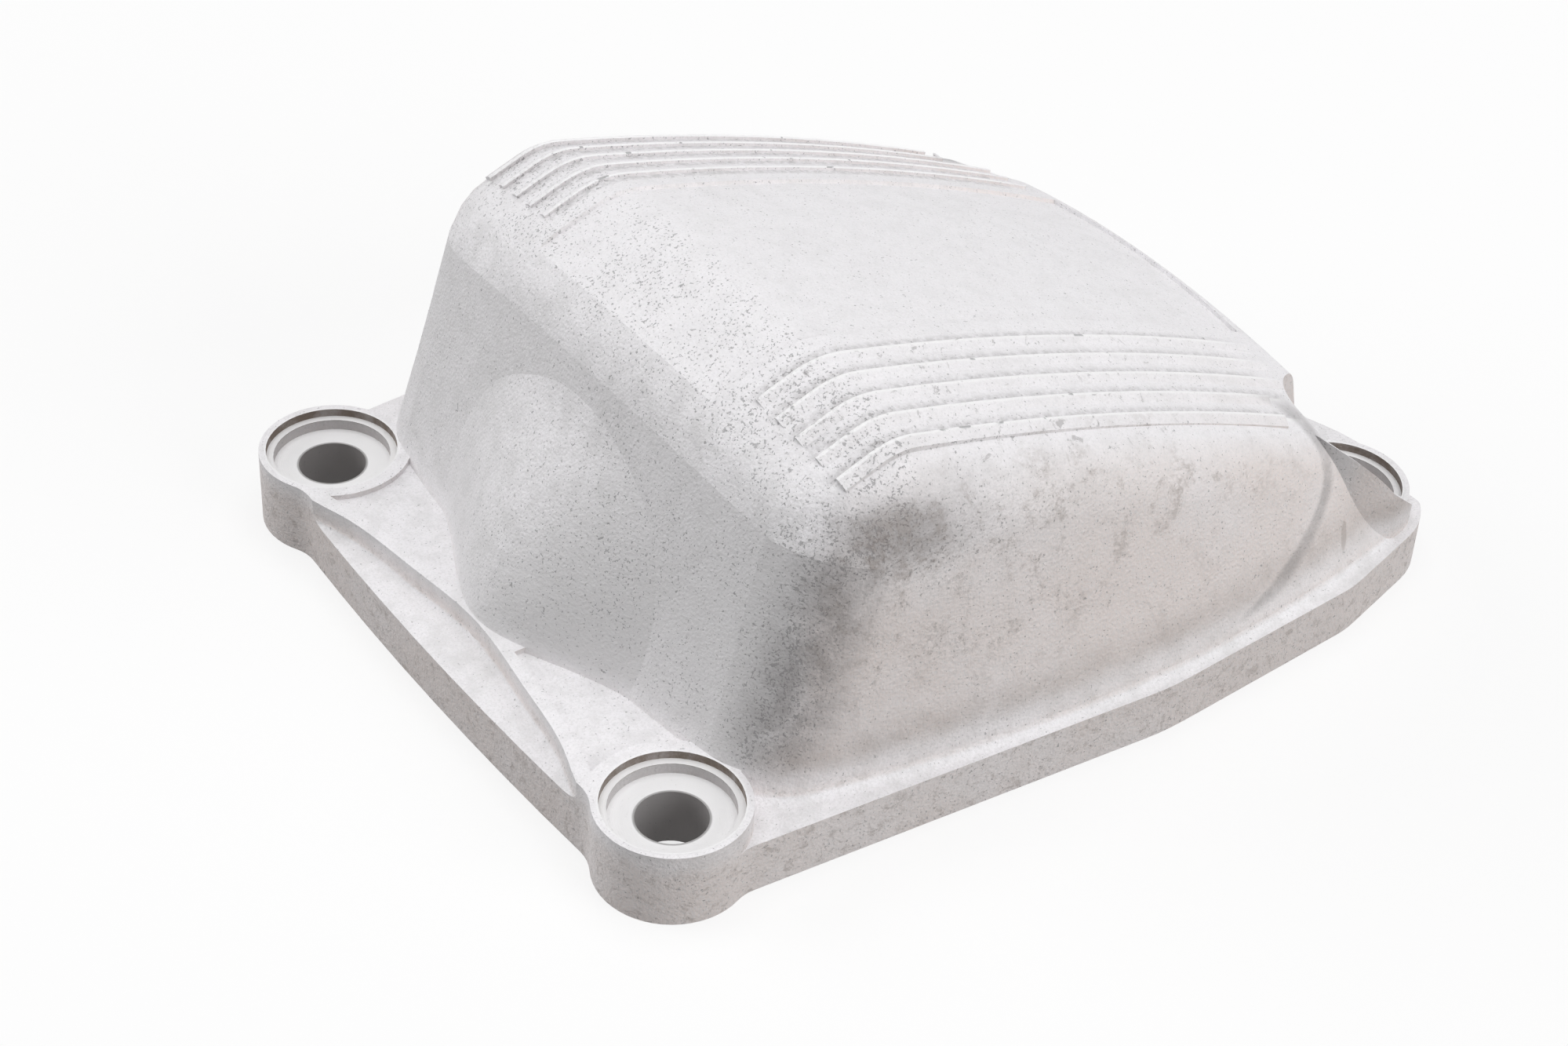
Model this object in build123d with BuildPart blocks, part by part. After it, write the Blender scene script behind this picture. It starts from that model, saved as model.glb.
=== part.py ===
"""Overhead-cam engine valve cover: one sand-blasted aluminium casting, open underneath."""

import math
import os

from build123d import *

os.makedirs("parts", exist_ok=True)

# The gasket face is Z 0 and the cover is the same on both sides of the XZ plane. X runs from the
# high end to the low end, with the origin midway between the two rows of screws.

# Screws, their stepped seats and lugs
row_span = 150.8
high_gauge = 111.8
low_gauge = 100.8
screw_hole_r = 6.1
lug_r = 13.2
lug_top = 14.5
seat_r = 11.9
seat_ledge_z = 12.95
pocket_r = 10.6
pocket_floor_z = 10.9

# Flange
flange_t = 10.0
end_edge = 11.8
end_bow = 1.5
knee_x = 15.0
knee_w = 74.4
waist_x = 60.7
waist_w = 71.2
low_corner_r = 16.0
neck_out = 11.1
neck_r = 8.0
foot_margin = 0.4

# Gasket groove in the underside
gland_w = 2.4
gland_depth = 2.4
gland_land = 1.3

# Platforms between the lugs of one end, with a sunk web
platform_run = 8.5
web_depth = 1.0
web_rim = 2.5
web_collar_r = 14.6
web_end = 11.0
platform_foot_r = 1.5

# Towers that stiffen the body round the low screws, and the scoops cut into them
tower_r = 14.3
tower_crest = (-13.4, 18.4)
tower_shoulder = (-6.8, 12.9)
tower_brow = (-0.8, 6.4)
tower_foot = 6.6
scoop_flare = 1.4
scoop_h = 28.0

# Crown: an arc across, carried along a ramp, a crest and a long fall
crown_r = 232.0
ramp = 21.0
crest_r = 19.0
crest_back = 43.4
crest_z = 72.35
fall_start = 13.5
fall_r = 490.0

# Ribs: saw teeth that face the middle, on both sides of a sunk panel
rib_first = 31.5
rib_pitch = 5.05
rib_h = 0.65
rib_fade = 2.4
rib_run_in = 7.0
rib_lip = 0.4
long_rib_turn = 11.6
short_rib_turn = 10.6
panel_w = 26.3
panel_depth = 0.7
panel_side = 1.6
panel_run_in = 14.0
panel_turn = 12.0
shoulder_r = 16.5

# Walls: where they stand on the flange, and how far they lean in on the way up to the sky level
sky = 80.0
wall_stations = (-25.0, 13.0, 52.0)
wall_ledge = 2.4
wall_leans = (8.6, 18.9, 29.4)
wall_bow_r = 300.0
corner_r = 17.0
high_foot = (5.6, 4.9)
high_lean = (20.6, -0.1)
low_foot = (1.9, 14.2)
low_lean = (-15.8, 32.0)
low_round_r = 5.0

# Dome and nose of the cam end on the high wall
dome_r = 33.0
dome_h = 31.0
dome_z = 24.0
dome_out = 5.0
nose_w = 12.0
nose_top = 48.0
nose_foot = 13.0
nose_out = 6.0
bulge_skin = 0.3

# Wall thickness and the round inside the shoulders
wall = 3.4
hollow_shoulder_r = 6.0

high_x = -row_span / 2
low_x = row_span / 2
high_screws = [(high_x, high_gauge / 2), (high_x, -high_gauge / 2)]
low_screws = [(low_x, low_gauge / 2), (low_x, -low_gauge / 2)]


def crown_path(inset, run_in, turn):
    """The side profile of the crown on the middle plane, moved in by the inset."""
    lift = math.radians(ramp)
    crest = crest_r - inset
    with BuildLine(Plane.XZ) as profile:
        brow = (
            high_x + crest_back - crest * math.sin(lift) - run_in * math.cos(lift),
            crest_z - inset - crest * (1 - math.cos(lift)) - run_in * math.sin(lift),
        )
        rise = PolarLine(brow, run_in, angle=ramp)
        over = JernArc(rise @ 1, rise % 1, crest, -ramp - fall_start)
        JernArc(over @ 1, over % 1, fall_r - inset, -turn)
    return profile.wire()


def crown_block(inset):
    """Everything below the crown, far wider and longer than the cover."""
    half = 75.0
    radius = crown_r - inset
    sag = radius - math.sqrt(radius**2 - half**2)
    skin = sag + 1.4
    path = crown_path(inset, 45, 17)
    with BuildPart() as block:
        with BuildSketch(Plane(path @ 0, x_dir=(0, 1, 0), z_dir=path % 0)):
            with BuildLine():
                ThreePointArc((-half, -sag), (0, 0), (half, -sag))
                Polyline((half, -sag), (half, -skin), (-half, -skin), (-half, -sag))
            make_face()
        sweep(path=path)
        with BuildSketch(Plane.XZ):
            with BuildLine():
                under = []
                for step in range(31):
                    point = path @ (step / 30)
                    along = path % (step / 30)
                    depth = skin - 1
                    under.append((point.X + along.Z * depth, point.Z - along.X * depth))
                Polyline((under[0][0], -sky), *under, (under[-1][0], -sky), close=True)
            make_face()
        extrude(amount=half, both=True)
    return block.part


def flange_half(x):
    """Half the width of the flange between the rows of screws."""
    corners = [
        (high_x, high_gauge / 2 + neck_out),
        (knee_x, knee_w),
        (waist_x, waist_w),
    ]
    for (x0, w0), (x1, w1) in zip(corners, corners[1:]):
        if x <= x1:
            return w0 + (w1 - w0) * (x - x0) / (x1 - x0)
    return waist_w


def wall_outline(rise, inset):
    """The outline of the walls, from the flange top at rise 0 to the sky level at rise 1."""
    front = high_x + high_foot[0] + rise * high_lean[0] + inset
    half = high_gauge / 2 + high_foot[1] - rise * high_lean[1] - inset
    low = (
        low_x + low_foot[0] + rise * low_lean[0] - inset,
        low_gauge / 2 + low_foot[1] - rise * low_lean[1] - inset,
    )
    with BuildSketch() as outline:
        with BuildLine():
            side = [(front + half**2 / (2 * wall_bow_r), half)]
            for x, lean in zip(wall_stations, wall_leans):
                side.append((x, flange_half(x) - wall_ledge - rise * lean - inset))
            side.append(low)
            Spline(*side)
            Spline(*[(x, -y) for x, y in side])
            ThreePointArc(side[0], (front, 0), (side[0][0], -half))
            Line(side[-1], (side[-1][0], -side[-1][1]))
        make_face()
        fillet(outline.vertices().sort_by(Axis.X)[:2], corner_r - inset)
    return outline.sketch


def walls_block(inset):
    """Drafted walls all round, from the flange top to a level above the crown."""
    with BuildPart() as block:
        with BuildSketch(Plane.XY.offset(flange_t)):
            add(wall_outline(0, inset))
        with BuildSketch(Plane.XY.offset(sky)):
            add(wall_outline(1, inset))
        loft(ruled=True)
    return block.part


def body_form(inset, roof_inset, round_r):
    """The body as a block: crown over drafted walls, with round shoulders."""
    with BuildPart() as form:
        add(walls_block(inset))
        add(crown_block(roof_inset), mode=Mode.INTERSECT)
        roof = form.faces().filter_by(lambda f: f.center().Z > 50 and f.normal_at().Z > 0.75)
        rim = [
            e
            for e in form.edges()
            if (e @ 0.5).Z > flange_t + 1
            and sum(f.distance_to(e @ 0.5) < 1e-3 for f in roof) == 1
        ]
        low_rim = [e for e in rim if abs((e @ 0.5).Y) < 1 and (e @ 0.5).X > 0]
        fillet([e for e in rim if e not in low_rim], round_r)
        low_rim = [
            e
            for e in form.edges()
            if (e @ 0.5).Z > 2 * flange_t
            and min((e @ 0).X, (e @ 1).X) > low_x + low_foot[0] + low_lean[0]
            and abs((e @ 0).Z - (e @ 1).Z) < 1e-3
        ]
        fillet(low_rim, low_round_r)
    return form.part


def bulge(w, z):
    """How far the dome and the nose on the high wall stand out at a half width and a height."""
    reach = min(1.0, math.hypot(w / dome_r, (z - dome_z) / dome_h))
    dome = dome_out * (1 - reach**2) ** 1.5
    fade = min(1.0, max(0.0, (nose_top - z) / (nose_top - nose_foot)))
    return dome + nose_out * fade * math.exp(-((w / nose_w) ** 2) / 2)


def bulge_front(y, z, inset):
    """Where the front of the dome and nose stands, moved in by the inset."""
    lean = high_lean[0] / (sky - flange_t)
    front = high_x + high_foot[0] + (z - flange_t) * lean + y**2 / (2 * wall_bow_r)
    return front + bulge_skin + inset - bulge(abs(y), z)


def bulge_block(inset):
    """The high wall's dome and nose as a block that runs back into the body."""
    grid = []
    for row in range(17):
        z = flange_t - 2 + row * 3.0
        grid.append([Vector(bulge_front(y, z, inset), y, z) for y in range(-36, 37, 3)])
    face = Face.make_surface_from_array_of_points(grid, tol=0.02)
    return Solid.extrude(face, Vector(16, 0, 0))


def mouth_outline(grow):
    """The outline of the hollow's mouth with its nose, moved out from the hollow."""
    inset = wall - grow
    with BuildSketch() as outline:
        add(wall_outline(0, inset))
        with BuildLine():
            nose = [Vector(bulge_front(y, flange_t, inset), y) for y in range(-36, 37, 6)]
            back = high_x + corner_r + 10
            Spline(*nose)
            Polyline(nose[-1], (back, 36), (back, -36), nose[0])
        make_face()
        with Locations(*low_screws):
            Circle(tower_r + wall - grow, mode=Mode.SUBTRACT)
    return outline.sketch


def crown_sag(w):
    """How far the crown lies under its middle line at a half width."""
    return crown_r - math.sqrt(crown_r**2 - w**2)


def platform_edge(end, lug_w, rim):
    """The outer edge of a platform from its lug to the middle, moved in by the rim."""
    out = math.copysign(1, end)
    reach = end + out * (end_edge - 0.3 - rim)
    return [
        (reach, lug_w - 7),
        (reach - out * 3.5, lug_w - 20),
        (reach - out * 6.2, lug_w - 37),
        (end + out * (end_edge - platform_run - 0.5 * rim), web_end if rim else 0),
    ]


# Sunk panel along the crown
with BuildPart() as panel:
    path = crown_path(0, panel_run_in, panel_turn)
    with BuildSketch(Plane(path @ 0, x_dir=(0, 1, 0), z_dir=path % 0)):
        with BuildLine():
            low = -crown_sag(panel_w) - panel_depth
            lip = panel_w + panel_side
            ThreePointArc((-panel_w, low), (0, -panel_depth), (panel_w, low))
            Polyline((panel_w, low), (lip, 1), (-lip, 1), (-panel_w, low))
        make_face()
    sweep(path=path)

# Ribs, the outer two on each side shorter than the rest
with BuildPart() as ribs:
    for turn, first, last in ((long_rib_turn, 0, 3), (short_rib_turn, 3, 5)):
        path = crown_path(0, rib_run_in, turn)
        with BuildSketch(Plane(path @ 0, x_dir=(0, 1, 0), z_dir=path % 0)):
            for row in range(first, last):
                w = rib_first + row * rib_pitch
                top = rib_h - crown_sag(w)
                end_w = w + rib_fade
                with BuildLine():
                    tooth = [
                        (w, -crown_sag(w) - 1),
                        (w + 0.15, top - 0.15),
                        (w + rib_lip, top),
                        (w + 2 * rib_lip, top - 0.1),
                        (end_w, -crown_sag(end_w) - 0.05),
                        (end_w, -crown_sag(w) - 2),
                    ]
                    Polyline(*tooth, close=True)
                make_face()
            mirror(about=Plane.YZ)
        sweep(path=path)

# Towers, their tops falling away towards the low end
with BuildPart() as towers:
    with BuildSketch(Plane.XZ):
        with BuildLine():
            crest, shoulder, brow = (
                (low_x + run, lug_top + rise)
                for run, rise in (tower_crest, tower_shoulder, tower_brow)
            )
            ThreePointArc(crest, shoulder, brow)
            Polyline(
                brow,
                (low_x + tower_foot, lug_top),
                (low_x + tower_foot, flange_t),
                (low_x - tower_r, flange_t),
                (low_x - tower_r, crest[1]),
                crest,
            )
        make_face()
    extrude(amount=sky, both=True)
    with BuildSketch(Plane.XY.offset(flange_t)):
        with Locations(*low_screws):
            Circle(tower_r)
    extrude(amount=sky, mode=Mode.INTERSECT)
    Box(4 * sky, low_gauge, 4 * sky, mode=Mode.SUBTRACT)

# Hollow inside, with the metal left round the low lugs
with BuildPart() as core:
    add(body_form(wall, wall, hollow_shoulder_r))
    add(bulge_block(wall))
    with Locations((0, 0, flange_t)):
        Box(300, 300, 20, align=(Align.CENTER, Align.CENTER, Align.MAX), mode=Mode.SUBTRACT)
    floor = core.faces().filter_by(GeomType.PLANE).sort_by(Axis.Z)[0]
    extrude(floor, amount=flange_t, dir=(0, 0, -1))
    with Locations(*[(x, y, -1) for x, y in low_screws]):
        Cylinder(
            tower_r + wall,
            sky,
            align=(Align.CENTER, Align.CENTER, Align.MIN),
            mode=Mode.SUBTRACT,
        )

# Gasket groove round the mouth of the hollow
with BuildPart() as gland:
    with BuildSketch():
        add(mouth_outline(gland_land + gland_w))
        add(mouth_outline(gland_land), mode=Mode.SUBTRACT)
    extrude(amount=gland_depth)

with BuildPart() as valve_cover:
    # Flange plate, its lugs part of the outline
    with BuildSketch() as flange:
        with BuildLine():
            side = [
                (high_x - end_edge + end_bow, high_gauge / 2 - 8),
                (high_x - end_edge + end_bow, high_gauge / 2 - 4),
                (high_x, high_gauge / 2 + neck_out),
                (knee_x, knee_w),
                (waist_x, waist_w),
                (low_x + 4.4, low_gauge / 2 + low_corner_r - 0.6),
                (low_x + end_edge, low_gauge / 2 - 4),
            ]
            Polyline(*side)
            Polyline(*[(x, -y) for x, y in side])
            ThreePointArc(side[0], (high_x - end_edge, 0), (side[0][0], -side[0][1]))
            Line(side[-1], (side[-1][0], -side[-1][1]))
        make_face()
        with Locations(*high_screws, *low_screws):
            Circle(lug_r)
        with Locations(*low_screws):
            Circle(low_corner_r)
        with Locations((low_x + lug_r, 0)):
            Rectangle(20, 300, align=(Align.MIN, Align.CENTER), mode=Mode.SUBTRACT)
        necks = flange.vertices().filter_by(lambda v: v.X < high_x + 10 and abs(v.Y) > 40)
        fillet(necks, neck_r)
        fillet(flange.vertices().filter_by(lambda v: abs(v.X - knee_x) < 1), 60)
        fillet(flange.vertices().filter_by(lambda v: abs(v.X - waist_x) < 1), 25)
        fillet(flange.vertices().filter_by(lambda v: v.X > low_x + lug_r - 0.1), 2.5)
    extrude(amount=flange_t)
    add(gland.part, mode=Mode.SUBTRACT)
    # Body walls and the fillet they stand on
    body = body_form(0, 0, shoulder_r)
    add(body)
    walls = valve_cover.faces().filter_by(lambda f: f.center().Z > flange_t + 1)
    foot = [
        e
        for e in valve_cover.edges()
        if abs((e @ 0).Z - flange_t) + abs((e @ 0.5).Z - flange_t) < 1e-3
        and any(f.distance_to(e @ 0.5) < 1e-3 for f in walls)
    ]
    fillet(foot, wall_ledge - foot_margin)

    # Lugs and the platforms between them
    with BuildSketch(Plane.XY.offset(flange_t)):
        for end, gauge in ((high_x, high_gauge), (low_x, low_gauge)):
            out = math.copysign(1, end)
            rim = platform_edge(end, gauge / 2, 0)
            back = end - out * 18
            with BuildLine():
                Spline(*rim, tangents=((-0.1 * out, -1), (0, -1)))
                Polyline(rim[-1], (back, 0), (back, gauge / 2), (rim[0][0], gauge / 2), rim[0])
            make_face()
        mirror(about=Plane.XZ)
        with Locations(*high_screws, *low_screws):
            Circle(lug_r)
        add(flange.sketch_local, mode=Mode.INTERSECT)
    extrude(amount=lug_top - flange_t)
    curved = valve_cover.edges().filter_by(GeomType.BSPLINE)
    rims = [e for e in curved if abs((e @ 0.5).Z - flange_t) + abs((e @ 0.5).Y) < 0.1]
    fillet([e for e in rims if abs((e @ 0.5).X) < low_x + 5], platform_foot_r)
    with BuildSketch(Plane.XY.offset(lug_top)):
        for end, gauge in ((high_x, high_gauge), (low_x, low_gauge)):
            rim = platform_edge(end, gauge / 2, web_rim)
            back = end - math.copysign(18, end)
            with BuildLine():
                Spline(*rim)
                Polyline(rim[-1], (back, web_end), (back, gauge / 2), (rim[0][0], gauge / 2), rim[0])
            make_face()
        mirror(about=Plane.XZ)
        with Locations(*high_screws, *low_screws):
            Circle(web_collar_r, mode=Mode.SUBTRACT)
    extrude(amount=-web_depth, mode=Mode.SUBTRACT)
    add(body)
    add(bulge_block(0))
    add(panel.part, mode=Mode.SUBTRACT)
    add(ribs.part)
    add(towers.part)
    # Scoops, seats, pockets and holes, from the lug tops up and down
    with Locations(*[(x, y, lug_top) for x, y in low_screws]):
        Cone(
            seat_r,
            seat_r + scoop_flare,
            scoop_h,
            align=(Align.CENTER, Align.CENTER, Align.MIN),
            mode=Mode.SUBTRACT,
        )
    with Locations(*[(x, y, lug_top) for x, y in (*high_screws, *low_screws)]):
        for radius, floor_z in (
            (seat_r, seat_ledge_z),
            (pocket_r, pocket_floor_z),
            (screw_hole_r, 0),
        ):
            Cylinder(
                radius,
                lug_top - floor_z,
                align=(Align.CENTER, Align.CENTER, Align.MAX),
                mode=Mode.SUBTRACT,
            )
    add(core.part, mode=Mode.SUBTRACT)

valve_cover.part.label = "valve_cover"
export_step(valve_cover.part, "parts/valve_cover.step")
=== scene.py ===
import math
from types import SimpleNamespace

import bpy
from mathutils import Matrix, Vector

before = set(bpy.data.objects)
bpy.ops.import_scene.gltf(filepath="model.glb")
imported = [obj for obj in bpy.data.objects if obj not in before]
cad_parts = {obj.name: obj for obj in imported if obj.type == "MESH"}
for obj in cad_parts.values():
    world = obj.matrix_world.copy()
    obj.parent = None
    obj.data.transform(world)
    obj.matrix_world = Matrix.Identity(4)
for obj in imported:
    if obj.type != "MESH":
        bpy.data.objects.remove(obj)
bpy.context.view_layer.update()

# ---------------------------------------------------------------------------
# The cover casting.
# One die casting in silver aluminium, shot-blasted after the flash is trimmed.
# It is machined only on the gasket face, in the screw holes and on their seats.

MM = 0.001

# Sizes in mm. A screw is (x, distance from the middle plane), and heights are from the
# gasket face.
HIGH_SCREW = (-75.4, 55.9)
LOW_SCREW = (75.4, 50.4)
HOLE_R = 6.1
SEAT_R = 11.9
FLANGE_T = 10.0
POCKET_FLOOR = 10.9
SEAT_LEDGE = 12.95
LUG_TOP = 14.5
RIB_FIRST = 31.5
RIB_PITCH = 5.05
RIB_COUNT = 5
RIB_LAST = RIB_FIRST + (RIB_COUNT - 1) * RIB_PITCH

CAST_LIGHT = (0.885, 0.87, 0.89, 1)
# The dull tone also serves as painted shade on the end wall.
CAST_DULL_AND_SHADE = (0.71, 0.70, 0.705, 1)
WARM_FILM = (0.76, 0.685, 0.655, 1)
PIT_GREY = (0.27, 0.265, 0.275, 1)
STAIN_BROWN = (0.36, 0.315, 0.29, 1)
# The soot grey also serves as painted shade in the near corner, behind the rib teeth and
# along the set-back line.
SOOT_AND_SHADE_GREY = (0.30, 0.285, 0.285, 1)
# The bore grey is painted shade in the holes and on the recess walls.
BORE_SHADE_GREY = (0.31, 0.30, 0.30, 1)
RESIDUE_AND_SHADE_BROWN = (0.17, 0.13, 0.10, 1)
# This bright tone is a painted highlight on the rib crests.
CREST_HIGHLIGHT = (0.93, 0.925, 0.93, 1)
CUT_METAL = (0.88, 0.875, 0.88, 1)


class Wire:
    """An output of a node. Arithmetic on it adds Math nodes to its tree."""

    def __init__(self, tree, socket=None):
        self.tree = tree
        self.socket = socket

    def node(self, kind, settings=(), values=(), output=0):
        """A new node in this tree: its settings first, then its sockets' values or links."""
        node = self.tree.nodes.new(kind)
        for name, value in dict(settings).items():
            setattr(node, name, value)
        for key, value in dict(values).items():
            if isinstance(value, Wire):
                self.tree.links.new(value.socket, node.inputs[key])
            else:
                node.inputs[key].default_value = value
        return Wire(self.tree, node.outputs[output] if node.outputs else None)

    def math(self, operation, *others):
        return self.node("ShaderNodeMath", {"operation": operation},
                         enumerate((self, *others)))

    def __add__(self, other):
        return self.math("ADD", other)

    __radd__ = __add__

    def __mul__(self, other):
        return self.math("MULTIPLY", other)

    __rmul__ = __mul__

    def __sub__(self, other):
        return self.math("SUBTRACT", other)

    def __rsub__(self, other):
        return self.node("ShaderNodeMath", {"operation": "SUBTRACT"}, {0: other, 1: self})

    def __truediv__(self, other):
        return self.math("DIVIDE", other)

    def __abs__(self):
        return self.math("ABSOLUTE")

    def least(self, other):
        return self.math("MINIMUM", other)

    def most(self, other):
        return self.math("MAXIMUM", other)

    def rise(self, start, end):
        """0 up to start, 1 past end, smooth between. It falls where start is past end."""
        span = {"Value": self, "From Min": start, "From Max": end}
        return self.node("ShaderNodeMapRange", {"interpolation_type": "SMOOTHSTEP"}, span)

    def band(self, start, full, fade, end):
        """1 from full to fade, and 0 before start and past end."""
        return self.rise(start, full) * self.rise(end, fade)

    def parts(self):
        """The three numbers of a vector."""
        split = self.node("ShaderNodeSeparateXYZ", {}, {0: self})
        return [Wire(self.tree, socket) for socket in split.socket.node.outputs]

    def colour(self, value):
        """A plain colour in this tree."""
        plain = self.node("ShaderNodeRGB")
        plain.socket.default_value = value
        return plain

    def tint(self, amount, colour):
        """This colour, turned towards another by an amount that may vary."""
        kind = {"data_type": "RGBA", "clamp_factor": True}
        return self.node("ShaderNodeMix", kind, {0: amount, 6: self, 7: colour}, output=2)

    def noise(self, scale, detail, rough, drift=0.0):
        """Smooth noise from 0 to 1 at a point, with scale swells in each mm."""
        shape = {"Vector": self, "Scale": scale, "Detail": detail, "Roughness": rough,
                 "Distortion": drift}
        return self.node("ShaderNodeTexNoise", {}, shape)

    def pebbles(self, scale):
        """Rounded cells at a point, with scale cells in each mm."""
        shape = {"Vector": self, "Scale": scale, "Randomness": 1.0}
        return self.node("ShaderNodeTexVoronoi", {"feature": "SMOOTH_F1"}, shape, "Distance")


def distance(run, step):
    """The straight distance over a run one way and a step across it."""
    return (run * run + step * step).math("SQRT")


# Where each kind of surface lies. Of two numbers, the mask is 0 at the first and 1 at the
# second, and of four, it is 1 between the middle two. Heights and places are in mm, and
# the FACES values are parts of the surface's normal, from -1 to 1.
FACES_UP = (0.55, 0.9)
FACES_DOWN = (-0.9, -0.98)
FACES_SIDE = (0.45, 0.85)
FACES_HIGH_END = (-0.45, -0.85)
STANDS_UP = (0.75, 0.35)
HOLE_EDGE = (HOLE_R + 0.5, HOLE_R + 0.15)
SEAT_EDGE = (SEAT_R + 0.6, SEAT_R + 0.1)
SEAT_HEIGHTS = (POCKET_FLOOR - 1.4, POCKET_FLOOR - 0.7, LUG_TOP - 0.2, LUG_TOP + 0.4)
GASKET_HEIGHTS = (0.4, 0.1)
FLANGE_HEIGHTS = (LUG_TOP + 0.1, FLANGE_T - 1)
FOOT_HEIGHTS = (FLANGE_T + 6, FLANGE_T - 1)
BODY_HEIGHTS = (FLANGE_T + 2, FLANGE_T + 8)
CREST_FACES = (-0.93, -0.55, -0.12, 0.2)
CREST_HEIGHTS = (38, 56)
NEAR_SIDE = (6, -24)
CORNER_FACES_ALONG = (-0.95, -0.75, -0.3, -0.05)
CORNER_FACES_ASIDE = (0.15, 0.4, 0.85, 0.97)
CORNER_FACES_UP = (0.75, 0.4)
HIGH_HALF = (0, -30)


def casting_zones(at, facing):
    """The point and its normal, and masks from 0 to 1 for the casting's surfaces."""
    x, y, z = at.parts()
    nx, ny, nz = facing.parts()
    aside = abs(y)
    to_high = distance(x - HIGH_SCREW[0], aside - HIGH_SCREW[1])
    to_low = distance(x - LOW_SCREW[0], aside - LOW_SCREW[1])
    reach = to_high.least(to_low)

    upward = nz.rise(*FACES_UP)
    upright = abs(nz).rise(*STANDS_UP)
    body = z.rise(*BODY_HEIGHTS)
    hole = reach.rise(*HOLE_EDGE)
    recess = reach.rise(*SEAT_EDGE) * z.band(*SEAT_HEIGHTS)
    corner = nx.band(*CORNER_FACES_ALONG) * abs(ny).band(*CORNER_FACES_ASIDE)
    corner = corner * body * nz.rise(*CORNER_FACES_UP) * x.rise(*HIGH_HALF)
    return SimpleNamespace(
        x=x, y=y, z=z, aside=aside, ny=ny, nz=nz, reach=reach,
        hole=hole,
        seat=recess * upward,
        recess_wall=recess * upright * (1 - hole),
        gasket_face=nz.rise(*FACES_DOWN) * z.rise(*GASKET_HEIGHTS),
        flange_edge=z.rise(*FLANGE_HEIGHTS) * upright * (1 - recess) * (1 - hole),
        foot_walls=z.rise(*FOOT_HEIGHTS) * upright,
        body=body,
        crown=upward * body,
        crest=nx.band(*CREST_FACES) * z.rise(*CREST_HEIGHTS),
        end_wall=nx.rise(*FACES_HIGH_END) * body,
        side_wall=abs(ny).rise(*FACES_SIDE) * body,
        near_side=y.rise(*NEAR_SIDE),
        corner=corner,
    )


def die_tones(at):
    """Slow and fine changes of tone that the die and the blasting leave."""
    return SimpleNamespace(
        cloud=at.noise(0.035, 3.0, 0.6),
        mottle=at.noise(0.22, 4.0, 0.65),
        grime=at.noise(0.12, 6.0, 0.72, 0.6),
        fleck=at.noise(0.9, 3.0, 0.6),
        pepper=at.noise(2.2, 2.0, 0.7),
    )


# The side walls' film is thickest low down, and the end wall is painted darker, as shade,
# under its bulge and in the valley beside it.
FILM_HEIGHTS = (62, 34)
UNDER_BULGE_FACES_UP = (0.6, 0.1)
VALLEY_FACES_ASIDE = (0.12, -0.35)
VALLEY_HEIGHTS = (58, 36)


def bare_casting(base, on, tone):
    """Less dull on the crown, under a warm film on the sides, and with painted shade on the
    end wall.
    """
    dull = tone.mottle.rise(0.42, 0.66) * 0.45 + tone.cloud.rise(0.45, 0.7) * 0.3
    base = base.tint(dull * (1 - on.crown * 0.6), CAST_DULL_AND_SHADE)
    film = on.side_wall * (on.z.rise(*FILM_HEIGHTS) * 0.6 + 0.25) + on.foot_walls * 0.8
    film = film.least(1) * (tone.cloud.rise(0.3, 0.6) * 0.4 + 0.6)
    base = base.tint(film, WARM_FILM)
    base = base.tint(tone.pepper.rise(0.42, 0.72) * (0.6 - on.crown * 0.25), CAST_DULL_AND_SHADE)
    # Painted shade: the end wall darkens where it faces down under its bulge and in the
    # valley beside it.
    shade_under_bulge = on.end_wall * on.nz.rise(*UNDER_BULGE_FACES_UP)
    valley_shade = on.end_wall * on.ny.rise(*VALLEY_FACES_ASIDE) * on.z.rise(*VALLEY_HEIGHTS)
    return base.tint((shade_under_bulge * 0.6 + valley_shade * 0.6).least(1), CAST_DULL_AND_SHADE)


# Each layer of pits: swells in a mm, detail, the level of noise above which a pit lies
# where they are rare, and how far that level comes down where they crowd.
PIT_LAYERS = (
    (2.1, 1.0, 0.715, 0.11),
    (1.1, 2.0, 0.725, 0.11),
    (0.55, 4.0, 0.735, 0.07),
)
PIT_ROUGH = 0.62
PIT_EDGE = 0.035
RIB_START_ALONG = (-46, -36, -16, 2)
RIB_START_ASIDE = (27, 33, 50, 58)
RIB_START_HEIGHTS = (40, 55)
END_WALL_ACROSS = (35, -30)


def pits_in(at, on):
    """Dark points, thickest on the crest and the near corner, with some at the rib ends."""
    rib_start = on.x.band(*RIB_START_ALONG) * on.aside.band(*RIB_START_ASIDE)
    rib_start = rib_start * on.z.rise(*RIB_START_HEIGHTS)
    crowd = on.crest * 0.7 + rib_start * 0.15 + on.corner * on.near_side * 0.7
    crowd = crowd + on.end_wall * (on.y.rise(*END_WALL_ACROSS) * 0.3 + 0.15)
    crowd = crowd + on.side_wall * 0.05 + on.body * 0.1 + on.flange_edge * 0.35 + 0.05
    patch = at.noise(0.075, 2.0, 0.5).rise(0.3, 0.68)
    crowd = crowd * (patch * 0.45 + 0.6)
    layers = []
    for scale, detail, rare, drop in PIT_LAYERS:
        level = rare - crowd * drop
        layers.append(at.noise(scale, detail, PIT_ROUGH).rise(level, level + PIT_EDGE))
    fine, middle, coarse = layers
    return fine.most(middle).most(coarse)


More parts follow.
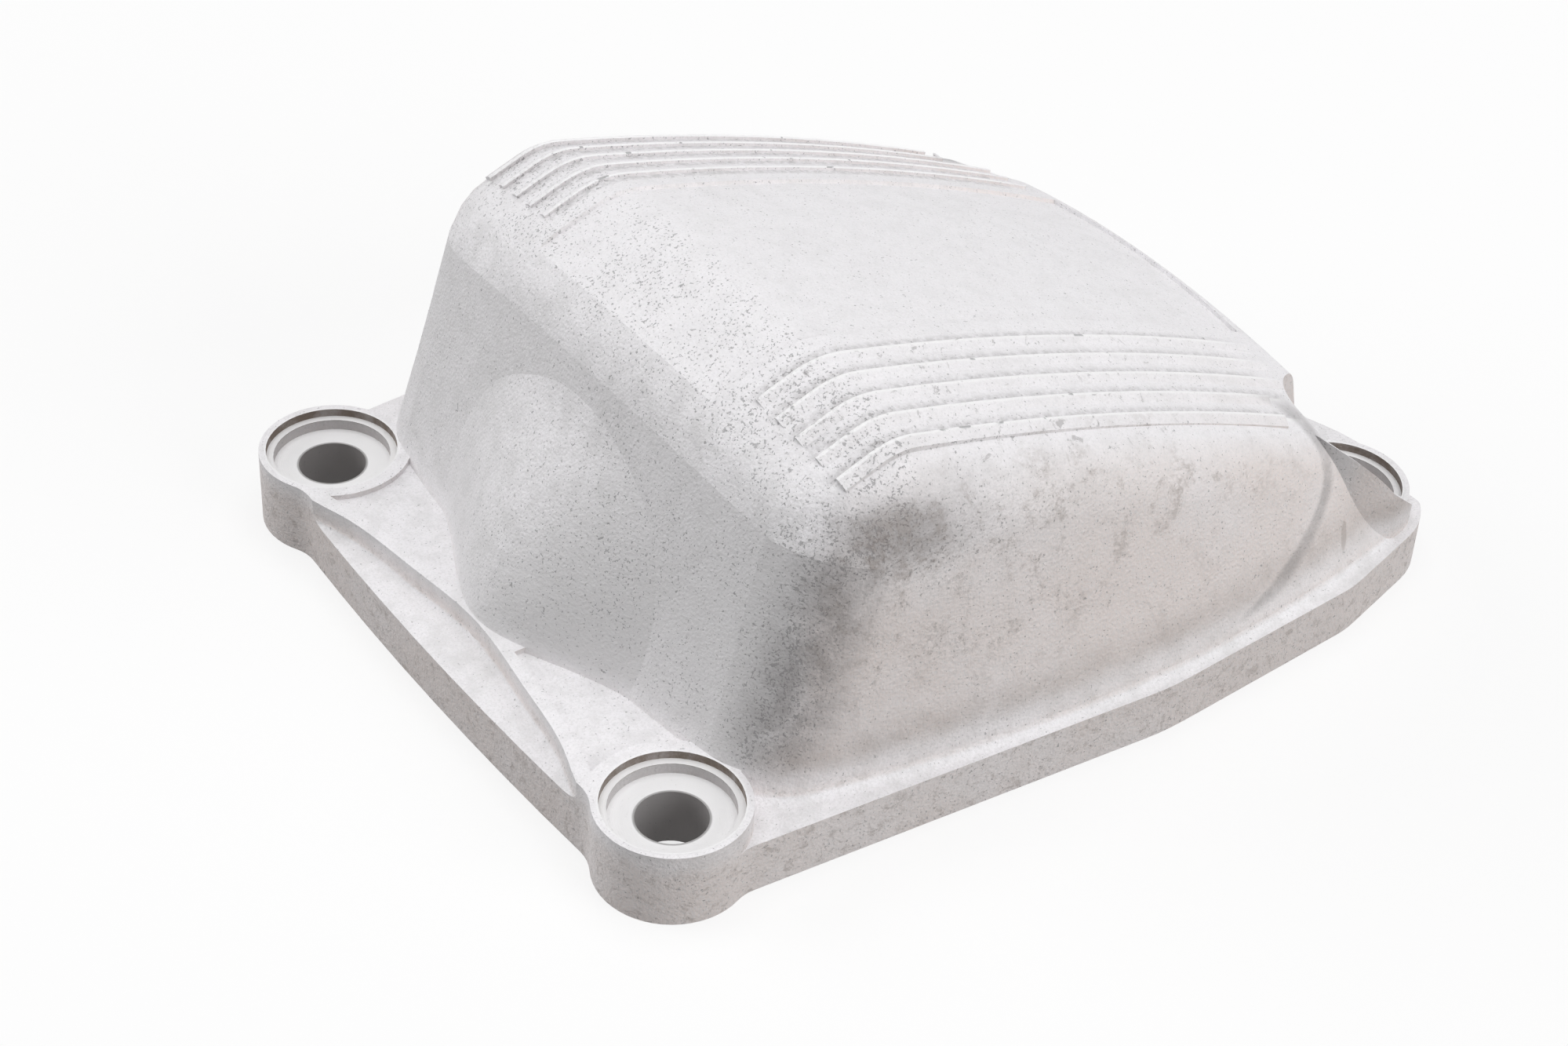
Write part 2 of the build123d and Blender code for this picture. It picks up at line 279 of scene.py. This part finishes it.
# Where the ribs lie, and three bands across one rib, in mm from the middle of its pitch,
# which is the edge of its tooth.
RIBS_ALONG = (-46, -42, 56, 64)
RIBS_ASIDE = (RIB_FIRST - 2.2, RIB_FIRST - 1.6, RIB_LAST + 0.7, RIB_LAST + 1.5)
RIBS_FACE_UP = (0.5, 0.7)
BEHIND_TOOTH = (-2.4, -0.5, 0.05, 0.25)
TOOTH_CREST = (0.0, 0.2, 0.7, 1.1)
TOOTH_CHIP = (-0.5, -0.1, 0.6, 1.0)


def rib_dirt_shade_and_highlight(base, at, on, tone):
    """Dirt and painted shade behind the teeth of the ribs, a painted highlight along their
    crests, and a few chips.
    """
    row = (on.aside - (RIB_FIRST - RIB_PITCH / 2)) * (1 / RIB_PITCH)
    past = (row.math("FRACT") - 0.5) * RIB_PITCH
    on_ribs = on.x.band(*RIBS_ALONG) * on.nz.rise(*RIBS_FACE_UP)
    on_ribs = on_ribs * on.aside.band(*RIBS_ASIDE)
    # Dirt and painted shade in the trough behind each tooth.
    behind_shade_and_dirt = past.band(*BEHIND_TOOTH) * on_ribs
    base = base.tint(behind_shade_and_dirt * tone.fleck.rise(0.25, 0.7) * 0.42, SOOT_AND_SHADE_GREY)
    # A painted highlight along each tooth's crest.
    crest_highlight = past.band(*TOOTH_CREST) * on_ribs
    base = base.tint(crest_highlight * 0.8, CREST_HIGHLIGHT)
    chip = past.band(*TOOTH_CHIP) * on_ribs * at.noise(0.3, 2.0, 0.5).rise(0.66, 0.7)
    return base.tint(chip * 0.7, PIT_GREY)


# Soot and painted shade lie along a line down the near corner, given by the point at its top
# and by how far it leans for each mm of height, and on the ledge beside that point. Brown
# smudges and streaks lie on the near wall, and the side walls are browner and darker at
# their foot.
SOOT_AND_SHADE_TOP = (-44.0, -59.5, 58.0)
SOOT_AND_SHADE_LEAN = 0.34
SOOT_AND_SHADE_REACH = (12.5, 2.0)
SOOT_AND_SHADE_HEIGHTS = (8, 24, 50, 64)
LEDGE_ALONG = (-54, -42, -36, -12)
LEDGE_HEIGHTS = (45, 54, 57, 64)
LEDGE_ACROSS = (-49, -57)
SMUDGE_HEIGHTS = (30, 42, 55, 62)
FOOT_DARKENING_HEIGHTS = (10.5, 12.5, 15, 24)
STREAKS_ALONG = (-52, -42, -18, 22)
STREAK_HEIGHTS = (20, 32, 50, 60)
SHOULDER_FACES_ASIDE = (0.2, 0.35, 0.6, 0.8)
SHOULDER_FACES_UP = (0.4, 0.6)
SHOULDER_HEIGHTS = (44, 52)


def stains_and_corner_shade(base, at, on, tone):
    """Soot and painted shade in the near corner, brown marks on the near wall, a darker
    foot, and blots on the shoulder.
    """
    # Soot and painted shade darken the near corner and the ledge beside it.
    top_x, top_y, top_z = SOOT_AND_SHADE_TOP
    away = distance(on.x - top_x + (top_z - on.z) * SOOT_AND_SHADE_LEAN, on.y - top_y)
    soot_and_shade = away.rise(*SOOT_AND_SHADE_REACH) * on.z.band(*SOOT_AND_SHADE_HEIGHTS)
    ledge = on.x.band(*LEDGE_ALONG) * on.z.band(*LEDGE_HEIGHTS) * on.y.rise(*LEDGE_ACROSS)
    soot_and_shade = soot_and_shade.most(ledge) * 0.8 * (tone.grime.rise(0.3, 0.62) * 0.6 + 0.4)
    base = base.tint(soot_and_shade * 0.85, SOOT_AND_SHADE_GREY)

    near_wall = on.side_wall * on.near_side
    smudge = near_wall * (on.z.band(*SMUDGE_HEIGHTS) * 0.7 + 0.3)
    smudge = smudge * tone.grime.rise(0.5, 0.62) * tone.fleck.rise(0.34, 0.56)
    base = base.tint(smudge * 0.5, STAIN_BROWN)
    # The side walls turn browner and darker towards their foot.
    foot = on.side_wall * on.z.band(*FOOT_DARKENING_HEIGHTS)
    base = base.tint(foot * (tone.mottle.rise(0.25, 0.6) * 0.18 + 0.2), STAIN_BROWN)
    streak = near_wall * on.x.band(*STREAKS_ALONG) * on.z.band(*STREAK_HEIGHTS)
    speckle = at.noise(0.55, 6.0, 0.8).rise(0.47, 0.62) * tone.grime.rise(0.4, 0.58)
    base = base.tint(streak * speckle * 0.5, STAIN_BROWN)

    shoulder = abs(on.ny).band(*SHOULDER_FACES_ASIDE) * on.nz.rise(*SHOULDER_FACES_UP)
    shoulder = shoulder * on.z.rise(*SHOULDER_HEIGHTS) * on.near_side
    blot = at.noise(0.28, 5.0, 0.75, 1.0).rise(0.58, 0.66)
    return base.tint(blot * shoulder * 0.5, SOOT_AND_SHADE_GREY)


# The line on the side wall where the low end sets back: the point (x, z) where it reaches
# furthest, and how far it bows back from there for each mm of height, squared.
SET_BACK = (61.0, 31.0)
SET_BACK_BOW = 0.083
SET_BACK_SHADE_AND_DIRT = (-1.1, 0.2, 1.1, 3.0)
SET_BACK_HEIGHTS = (12.5, 15, 38, 46)
SET_BACK_ASIDE = (44, 50)
# The middle (x, z) of a leaning handling mark, 2 mm wide and 5.6 mm tall.
MARK = (62.9, 16.5)
MARK_LEAN = 0.3
MARK_SLIMNESS = 0.36


def low_end_marks(base, on, tone):
    """Painted shade and dirt in a band along the set-back line, and a handling mark below
    it.
    """
    bend = on.z - SET_BACK[1]
    slope = bend * (2 * SET_BACK_BOW)
    past = on.x - SET_BACK[0] + bend * bend * SET_BACK_BOW
    past = past / (slope * slope + 1).math("SQRT")
    # Painted shade and dirt along the set-back step.
    step_shade_and_dirt = past.band(*SET_BACK_SHADE_AND_DIRT) * on.z.band(*SET_BACK_HEIGHTS)
    step_shade_and_dirt = step_shade_and_dirt * on.aside.rise(*SET_BACK_ASIDE)
    base = base.tint(step_shade_and_dirt * (tone.mottle.rise(0.2, 0.6) * 0.2 + 0.3), SOOT_AND_SHADE_GREY)
    up = on.z - MARK[1]
    along = on.x - MARK[0] - up * MARK_LEAN
    tall = up * MARK_SLIMNESS
    mark = (1 - along * along - tall * tall).rise(0.0, 0.6) * on.near_side
    return base.tint(mark * 0.4, STAIN_BROWN)


RESIDUE_AND_SHADE_HEIGHTS = (SEAT_LEDGE - 0.25, SEAT_LEDGE + 0.15)


def machined_places(base, on, tone):
    """Cut seats and gasket face, painted shade on the recess walls and in the holes, and
    residue with painted shade round the seats' upper step.
    """
    base = base.tint(on.seat * 0.95, CUT_METAL)
    # Painted shade on the recess walls.
    base = base.tint(on.recess_wall * 0.55, BORE_SHADE_GREY)
    # Brown residue and painted shade on the seats' upper step.
    residue_and_shade = on.recess_wall * on.z.rise(*RESIDUE_AND_SHADE_HEIGHTS)
    base = base.tint(residue_and_shade * (tone.mottle.rise(0.3, 0.6) * 0.4 + 0.5), RESIDUE_AND_SHADE_BROWN)
    # Painted shade in the screw holes.
    base = base.tint(on.hole * 0.85, BORE_SHADE_GREY)
    return base.tint(on.gasket_face * 0.9, CUT_METAL)


# The tool's rings on the seats, in radians for each mm from the screw's axis.
RING_TURN = 16.0


def blasted_relief(at, on, pits):
    """The blasted pebble, a soft unevenness, the pits, and the tool's rings on the seats."""
    skin = 1 - (on.seat + on.gasket_face + on.hole).least(1)
    pebble = at.pebbles(1.7) * 0.6 + at.noise(2.6, 3.0, 0.7) * 0.7
    swell = at.noise(0.16, 2.0, 0.5) * 3.0
    rings = (on.reach * RING_TURN).math("SINE") * 0.5 + 0.5
    relief = pebble * skin * 0.28 + swell * 0.12 - pits * 0.12 + rings * on.seat * 0.01
    return at.node("ShaderNodeBump", {}, {"Strength": 0.7, "Distance": MM, "Height": relief})


def cast_aluminium():
    """Blasted aluminium with pits, stains, painted shade, a painted highlight on the rib
    crests, and machined seats.
    """
    metal = bpy.data.materials.new("blasted_cast_aluminium")
    metal.use_nodes = True
    metal.node_tree.nodes.clear()
    start = Wire(metal.node_tree)
    point = start.node("ShaderNodeTexCoord", output="Object")
    facing = start.node("ShaderNodeTexCoord", output="Normal")
    at = start.node("ShaderNodeVectorMath", {"operation": "SCALE"},
                    {0: point, "Scale": 1 / MM}, output="Vector")
    on = casting_zones(at, facing)
    tone = die_tones(at)
    pits = pits_in(at, on)

    base = bare_casting(start.colour(CAST_LIGHT), on, tone)
    base = base.tint(pits * (tone.fleck * 0.6 + 0.25), PIT_GREY)
    base = rib_dirt_shade_and_highlight(base, at, on, tone)
    base = stains_and_corner_shade(base, at, on, tone)
    base = low_end_marks(base, on, tone)
    # The flange's edge is handled and knocked, so it is scuffed and a little brown.
    scuff = at.noise(0.45, 6.0, 0.8, 0.5).rise(0.5, 0.64)
    base = base.tint(on.flange_edge * scuff * 0.45, STAIN_BROWN)
    base = machined_places(base, on, tone)

    roughness = tone.mottle * 0.1 + 0.62 - on.seat * 0.08
    roughness = roughness - on.gasket_face * 0.26 + pits * 0.12
    shader = start.node("ShaderNodeBsdfPrincipled", {}, {
        "Base Color": base,
        "Roughness": roughness,
        "Metallic": 0.12,
        "Specular IOR Level": 0.18,
        "Normal": blasted_relief(at, on, pits),
    })
    start.node("ShaderNodeOutputMaterial", {}, {"Surface": shader})
    return metal


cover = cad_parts["valve_cover"]
finish = cast_aluminium()
for place in range(len(cover.data.materials)):
    cover.data.materials[place] = finish

# ---------------------------------------------------------------------------
# The studio floor: matt and pale. It bounces light as a mid grey floor would, while the
# camera sees it near white, and it still takes the cover's shadow.

FLOOR_HALF = 30.0
FLOOR_BOUNCE = (0.28, 0.28, 0.28, 1)
FLOOR_SEEN = (0.96, 0.96, 0.96, 1)
WHITE_SHARE = 0.74


def seen_directly(wire):
    """1 for what the camera sees itself or in a shiny surface, 0 for other light."""
    camera_ray = wire.node("ShaderNodeLightPath", output="Is Camera Ray")
    glossy_ray = wire.node("ShaderNodeLightPath", output="Is Glossy Ray")
    return (camera_ray + glossy_ray).least(1)


floor_mesh = bpy.data.meshes.new("studio_floor")
floor_mesh.from_pydata([(-FLOOR_HALF, -FLOOR_HALF, 0), (FLOOR_HALF, -FLOOR_HALF, 0),
                        (FLOOR_HALF, FLOOR_HALF, 0), (-FLOOR_HALF, FLOOR_HALF, 0)],
                       [], [(0, 1, 2, 3)])
floor = bpy.data.objects.new("studio_floor", floor_mesh)
bpy.context.scene.collection.objects.link(floor)
paint = bpy.data.materials.new("studio_floor")
paint.use_nodes = True
paint.node_tree.nodes.clear()
begin = Wire(paint.node_tree)
shown = seen_directly(begin)
grey = begin.colour(FLOOR_BOUNCE).tint(shown, FLOOR_SEEN)
matt = begin.node("ShaderNodeBsdfDiffuse", {}, {"Color": grey})
white = begin.node("ShaderNodeEmission", {}, {"Color": (1, 1, 1, 1), "Strength": 1.0})
blend = begin.node("ShaderNodeMixShader", {}, {0: shown * WHITE_SHARE, 1: matt, 2: white})
begin.node("ShaderNodeOutputMaterial", {}, {"Surface": blend})
floor_mesh.materials.append(paint)

# ---------------------------------------------------------------------------
# The studio light: a white surround that gives a little fill, and three broad soft lamps
# far away, one overhead and one from each side.

FILL = 0.2
# Each lamp: its name, the direction towards it, its spread in degrees and its strength.
LAMPS = (
    ("overhead_light", (0.02, 0.0, 1.0), 60, 1.55),
    ("left_light", (-0.62, 0.70, 0.35), 42, 1.08),
    ("right_light", (0.38, -0.85, 0.36), 42, 1.32),
)

world = bpy.data.worlds.new("studio")
world.use_nodes = True
world.node_tree.nodes.clear()
bpy.context.scene.world = world
sky = Wire(world.node_tree)
level = seen_directly(sky) * (1 - FILL) + FILL
surround = sky.node("ShaderNodeBackground", {}, {"Color": (1, 1, 1, 1), "Strength": level})
sky.node("ShaderNodeOutputWorld", {}, {"Surface": surround})

for name, toward, spread, strength in LAMPS:
    lamp = bpy.data.lights.new(name, "SUN")
    lamp.angle = math.radians(spread)
    lamp.energy = strength
    light = bpy.data.objects.new(name, lamp)
    bpy.context.scene.collection.objects.link(light)
    light.matrix_world = Vector(toward).to_track_quat("Z", "Y").to_matrix().to_4x4()

# ---------------------------------------------------------------------------
# The camera looks down on the high end and the near side. Its place and its near limit
# are in metres, its lens and its sensor in mm, and its axes are unit vectors.

SENSOR = 36.0
FOCAL_LENGTH = 71.237
NEAR_LIMIT = 0.01
CAMERA_AT = (-0.283564, -0.354317, 0.353955)
CAMERA_RIGHT = (0.81462144, -0.57835545, 0.04355325)
CAMERA_UP = (0.32722069, 0.52029623, 0.78880825)
CAMERA_BACK = (-0.47887214, -0.62832859, 0.61309433)

lens = bpy.data.cameras.new("camera")
lens.sensor_width = SENSOR
lens.lens = FOCAL_LENGTH
lens.clip_start = NEAR_LIMIT
camera = bpy.data.objects.new("camera", lens)
bpy.context.scene.collection.objects.link(camera)
turn = Matrix((CAMERA_RIGHT, CAMERA_UP, CAMERA_BACK)).transposed().to_4x4()
camera.matrix_world = Matrix.Translation(CAMERA_AT) @ turn
bpy.context.scene.camera = camera

bpy.context.scene.view_settings.view_transform = "Standard"
